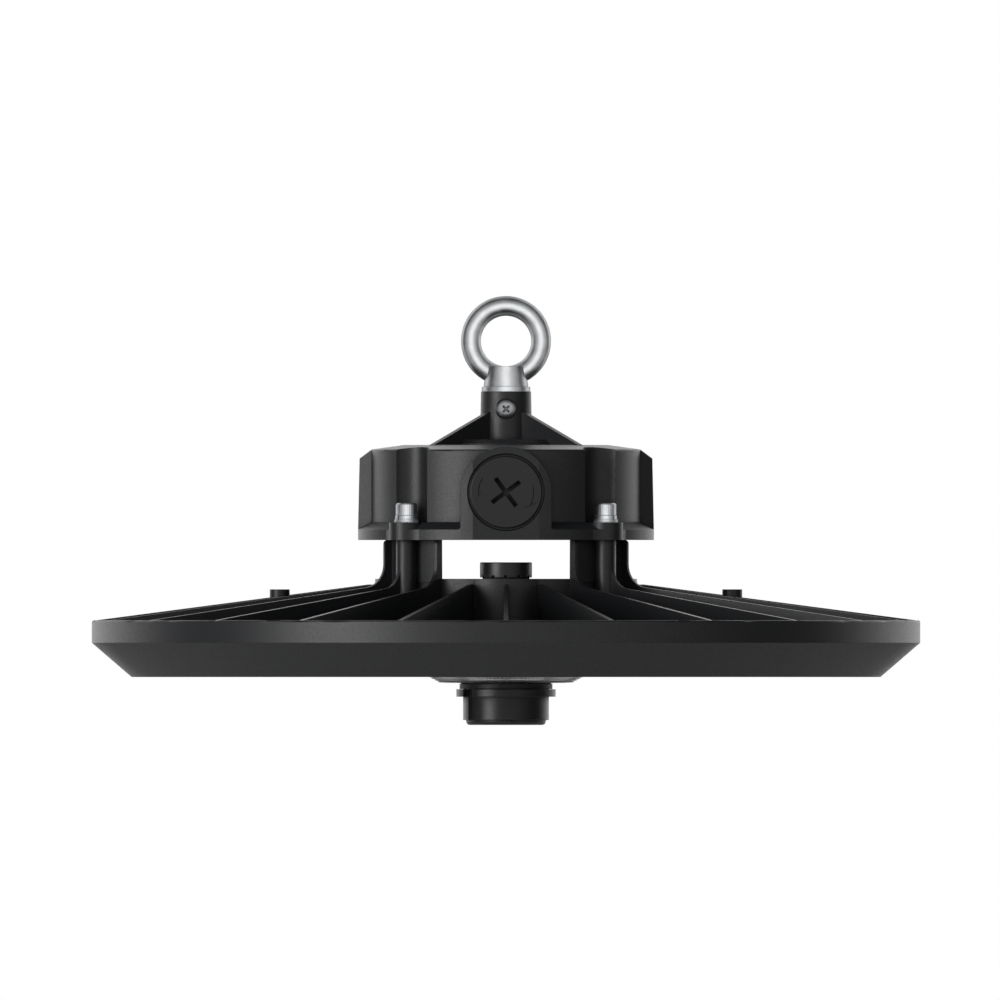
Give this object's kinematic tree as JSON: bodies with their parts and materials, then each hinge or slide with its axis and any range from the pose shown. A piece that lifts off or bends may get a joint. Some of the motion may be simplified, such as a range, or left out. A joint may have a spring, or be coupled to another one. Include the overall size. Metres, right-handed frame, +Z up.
{
  "type": "high bay light",
  "caption": "Round hanging high bay light with a finned cast heat sink, a lens plate below, a driver housing on posts above and an eye bolt on top.",
  "frame": {"origin": "middle of the sensor cap's underside, the lowest point, on the light's upright axis", "axes": "+Z up through the eye bolt, -Y towards the cover plug, +X to the right seen from there"},
  "size_m": [0.3314, 0.3314, 0.1716],
  "materials": {
    "black_powder_coat": "fine textured powder coat",
    "zinc_plated_steel": "bright zinc plate",
    "prismatic_polycarbonate": "clear, beaded",
    "black_plastic": "satin moulded",
    "black_rubber": "matt",
    "white_silicone": "matt",
    "white_board": "solder mask",
    "green_board": "solder mask",
    "led_phosphor": "phosphor",
    "transformer_tape": "wound tape",
    "capacitor_can": "drawn",
    "ferrite": "sintered",
    "terminal_plastic": "moulded",
    "contact_brass": "turned"
  },
  "bodies": {
    "fixture": {"heat_sink": "black_powder_coat", "lens_plate": "prismatic_polycarbonate", "lens_gasket": "white_silicone", "lens_screws": "zinc_plated_steel", "led_board": "white_board", "board_screws": "zinc_plated_steel", "led_chips": "led_phosphor", "sensor_socket": "black_plastic", "port_seal": "black_rubber", "port_nut": "black_plastic", "port_contacts": "contact_brass", "driver_housing": "black_powder_coat", "housing_base_plate": "black_powder_coat", "housing_gasket": "white_silicone", "base_plate_screws": "zinc_plated_steel", "wire_sleeve": "black_rubber", "corner_flat_washers": "zinc_plated_steel", "corner_spring_washers": "zinc_plated_steel", "corner_screws": "zinc_plated_steel", "vent_seal": "black_rubber", "vent_plug": "black_plastic", "selector_board": "green_board", "selector_switch": "black_plastic", "driver_board": "green_board", "driver_standoffs": "zinc_plated_steel", "power_transformer": "transformer_tape", "bulk_capacitors": "capacitor_can", "input_choke": "ferrite", "terminal_block": "terminal_plastic", "gland_washer": "black_rubber", "gland_body": "black_plastic", "gland_insert": "black_rubber", "gland_nut": "black_plastic", "gland_locknut": "black_plastic", "eye_washer": "zinc_plated_steel", "eye_bolt": "zinc_plated_steel", "eye_lock_screw": "zinc_plated_steel"},
    "plug": {"cover_plug": "black_plastic", "cover_plug_seal": "black_rubber"},
    "cap": {"sensor_cap": "black_plastic"}
  },
  "joints": [
    {"name": "plug_turn", "type": "hinge", "parent": "fixture", "child": "plug", "pos_m": [0, -0.0547, 0.09309], "axis": [0, -1, 0], "range_deg": [0, 90]},
    {"name": "cap_turn", "type": "hinge", "parent": "fixture", "child": "cap", "pos_m": [0, 0, 0.007], "axis": [0, 0, -1], "range_deg": [0, 90]}
  ]
}
